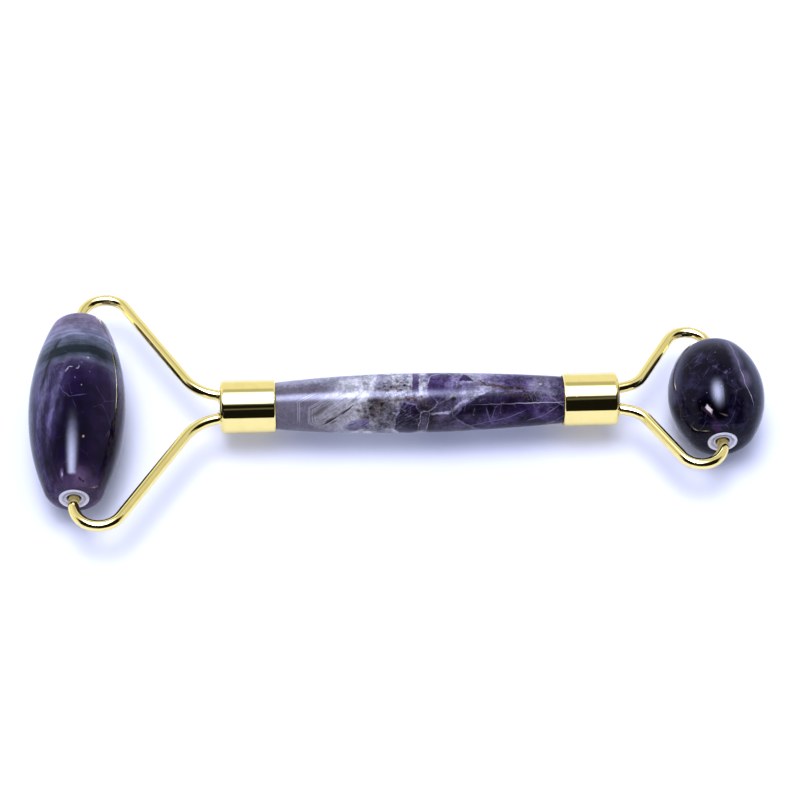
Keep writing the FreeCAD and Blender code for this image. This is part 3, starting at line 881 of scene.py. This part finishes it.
def bush_plastic(name, box):
    """White plastic, with painted shade darkening its groove and its mouth."""
    material, graph = new_material(name)
    place = place_in_solid(graph)
    x, _, z = graph.parts(place)
    radius = graph.measure("LENGTH", graph.joined(*from_axis(graph, x, z, box)))
    cloud = graph.noise(place, size=1.2, detail=4.0)
    stain = graph.times(graph.fade(cloud, nothing=0.5, full=0.8), STAIN_STRENGTH)
    colour = graph.mix(stain, PLASTIC_WHITE, PLASTIC_STAIN_AND_SHADE)
    # Painted shade: the groove and the mouth are darkened in the colour, where shade falls.
    from_groove = graph.sum("ABSOLUTE", graph.sum("SUBTRACT", radius, GROOVE_RADIUS))
    groove = graph.fade(from_groove, nothing=GROOVE_REACH, full=0.0)
    groove = graph.times(groove, graph.spread(cloud, *GROOVE_SHADE_SHARE))
    colour = graph.mix(groove, colour, PLASTIC_STAIN_AND_SHADE)
    mouth = graph.fade(radius, nothing=MOUTH_RADIUS, full=MOUTH_RADIUS * MOUTH_CORE)
    colour = graph.mix(mouth, colour, MOUTH_SHADE)
    soft_plastic(graph, colour, place, cloud)
    return material


def glue():
    """Cured epoxy, amber and cloudy."""
    material, graph = new_material("cured_glue")
    place = place_in_solid(graph)
    cloud = graph.noise(place, size=1.2, detail=4.0)
    colour = graph.mix(graph.fade(cloud, nothing=0.4, full=0.7), GLUE_AMBER, GLUE_DARK)
    soft_plastic(graph, colour, place, cloud)
    return material


# ------------------------------------------------------------------ the pieces


@dataclass
class Box:
    """A node's box in the part's frame."""

    centre: Vector
    size: Vector


def box_of(node):
    low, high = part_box(node)
    return Box((low + high) / 2, high - low)


def dress(nodes, material, start, end):
    """Gives a material to every node whose name starts and ends so."""
    for name, piece in nodes.items():
        if name.startswith(start) and name.endswith(end):
            piece.data.materials.clear()
            piece.data.materials.append(material)


def dress_roller(nodes):
    dress(nodes, amethyst_handle(box_of("handle_stone")), "handle", "_stone")
    dress(nodes, amethyst_large(box_of("large_stone")), "large", "_stone")
    dress(nodes, amethyst_small(box_of("small_stone")), "small", "_stone")
    dress(nodes, gold("gold_cap"), "", "_ferrule")
    dress(nodes, gold("gold_wire"), "", "_wire")
    dress(nodes, gold("gold_solder"), "", "_solder")
    dress(nodes, bush_plastic("large_bush_plastic", box_of("large_stone")), "large", "_bush")
    dress(nodes, bush_plastic("small_bush_plastic", box_of("small_stone")), "small", "_bush")
    dress(nodes, glue(), "", "_glue")


# ------------------------------------------------------------------ the studio


def make_floor():
    """A wide sheet of matt white paper."""
    half = FLOOR_SIZE / 2
    mesh = bpy.data.meshes.new("floor")
    corners = [(-half, -half, 0), (half, -half, 0), (half, half, 0), (-half, half, 0)]
    mesh.from_pydata(corners, [], [(0, 1, 2, 3)])
    material, graph = new_material("paper")
    fibres = graph.noise(place_in_solid(graph), size=0.6, detail=4.0)
    colour = graph.mix(graph.times(fibres, FIBRE_STRENGTH), FLOOR_WHITE, FLOOR_FIBRE)
    finish_material(
        graph,
        Base_Color=colour,
        Roughness=PAPER_ROUGHNESS,
        Specular_IOR_Level=PAPER_GLOSS,
    )
    mesh.materials.append(material)
    floor = bpy.data.objects.new("floor", mesh)
    bpy.context.scene.collection.objects.link(floor)


def softbox_light(graph, ray, spread):
    """The softbox overhead, from 0 to 1: brightest at its middle, with no hard edge."""
    x, y, z = graph.parts(ray)
    height = graph.sum("MAXIMUM", z, LOWEST_RAY)
    sides = []
    for side, lean, reach in zip((x, y), KEY_LEAN, spread):
        away = graph.sum("SUBTRACT", graph.sum("DIVIDE", side, height), tan_of(lean))
        sides.append(graph.sum("DIVIDE", away, tan_of(reach)))
    reach = graph.measure("LENGTH", graph.joined(*sides))
    return graph.sum("EXPONENT", graph.times(graph.sum("POWER", reach, KEY_FALLOFF), -1.0))


def mirrored_room(graph, ray):
    """What polished surfaces see round the softbox."""
    x, y, z = graph.parts(ray)
    sideways = graph.sum("ABSOLUTE", x)
    wall = graph.spread(graph.fade(x, *WALL_CHANGE), *WALL_STRENGTH)
    ceiling = graph.spread(graph.fade(sideways, *GAP_HALF_WIDTH), *CEILING_STRENGTH)
    inputs = {0: graph.fade(z, *WALL_TOP), 2: wall, 3: ceiling}
    room = graph.node("ShaderNodeMix", inputs).outputs[0]
    rail_height = graph.sum("ADD", graph.times(x, RAIL_SLOPE), RAIL_HEIGHT)
    from_rail = graph.sum("ABSOLUTE", graph.sum("SUBTRACT", z, rail_height))
    rail = graph.fade(from_rail, nothing=RAIL_WIDTH, full=0.0)
    front = graph.spread(rail, FRONT_STRENGTH, RAIL_STRENGTH)
    in_front = graph.times(
        graph.fade(sideways, *reversed(FRONT_HALF_WIDTH)),
        graph.fade(z, *FRONT_BOTTOM),
        graph.fade(z, *reversed(FRONT_TOP)),
        graph.fade(y, *FRONT_BEGINS),
    )
    return graph.node("ShaderNodeMix", {0: in_front, 2: room, 3: front}).outputs[0]


def make_light():
    """All the studio's light, by direction. Matt surfaces get the softbox and an even fill, and
    polished ones mirror the softbox and the room."""
    world = bpy.data.worlds.new("studio")
    world.use_nodes = True
    bpy.context.scene.world = world
    graph = Graph(world.node_tree)
    ray = graph.node("ShaderNodeTexCoord").outputs["Generated"]
    key = graph.scaled(KEY_TINT, softbox_light(graph, ray, KEY_SPREAD))
    mirrored_key = graph.scaled(KEY_MIRRORED, softbox_light(graph, ray, MIRRORED_SPREAD))
    fill = graph.scaled(FILL_TINT, FILL_STRENGTH)
    for_matt = graph.vector("ADD", graph.scaled(key, KEY_STRENGTH), fill)
    room = graph.scaled(ROOM_TINT, mirrored_room(graph, ray))
    for_polished = graph.vector("ADD", mirrored_key, room)
    mirrored = graph.node("ShaderNodeLightPath").outputs["Is Glossy Ray"]
    colour = graph.mix(mirrored, for_matt, for_polished)
    light = graph.node("ShaderNodeBackground", {"Color": colour})
    graph.feed(graph.node("ShaderNodeOutputWorld").inputs["Surface"], light.outputs[0])


def make_camera():
    """The camera, at the photograph's angle."""
    azimuth, elevation, roll = map(math.radians, (CAMERA_AZIMUTH, CAMERA_ELEVATION, CAMERA_ROLL))
    back = Vector(
        (
            math.sin(azimuth) * math.cos(elevation),
            -math.cos(azimuth) * math.cos(elevation),
            math.sin(elevation),
        )
    )
    right = Vector((0, 0, 1)).cross(back).normalized()
    right = Matrix.Rotation(roll, 3, back) @ right
    up = back.cross(right)
    aim = Vector((0, 0, AIM_HEIGHT)) + right * AIM_RIGHT + up * AIM_UP
    data = bpy.data.cameras.new("camera")
    data.lens = CAMERA_LENS
    data.sensor_width = SENSOR_WIDTH
    camera = bpy.data.objects.new("camera", data)
    turn = Matrix((right, up, back)).transposed()
    camera.matrix_world = Matrix.Translation(aim + back * CAMERA_DISTANCE) @ turn.to_4x4()
    bpy.context.scene.collection.objects.link(camera)
    bpy.context.scene.camera = camera


def make_studio():
    make_floor()
    make_light()
    make_camera()
    bpy.context.scene.view_settings.view_transform = "Standard"


# ------------------------------------------------------------------ the scene


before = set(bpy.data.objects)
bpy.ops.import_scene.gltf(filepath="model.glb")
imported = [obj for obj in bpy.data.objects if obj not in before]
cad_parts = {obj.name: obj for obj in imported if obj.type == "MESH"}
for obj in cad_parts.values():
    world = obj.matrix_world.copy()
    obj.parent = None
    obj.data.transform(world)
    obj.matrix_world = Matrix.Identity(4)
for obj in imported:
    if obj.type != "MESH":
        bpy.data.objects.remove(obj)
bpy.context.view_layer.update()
dress_roller(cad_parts)
make_studio()
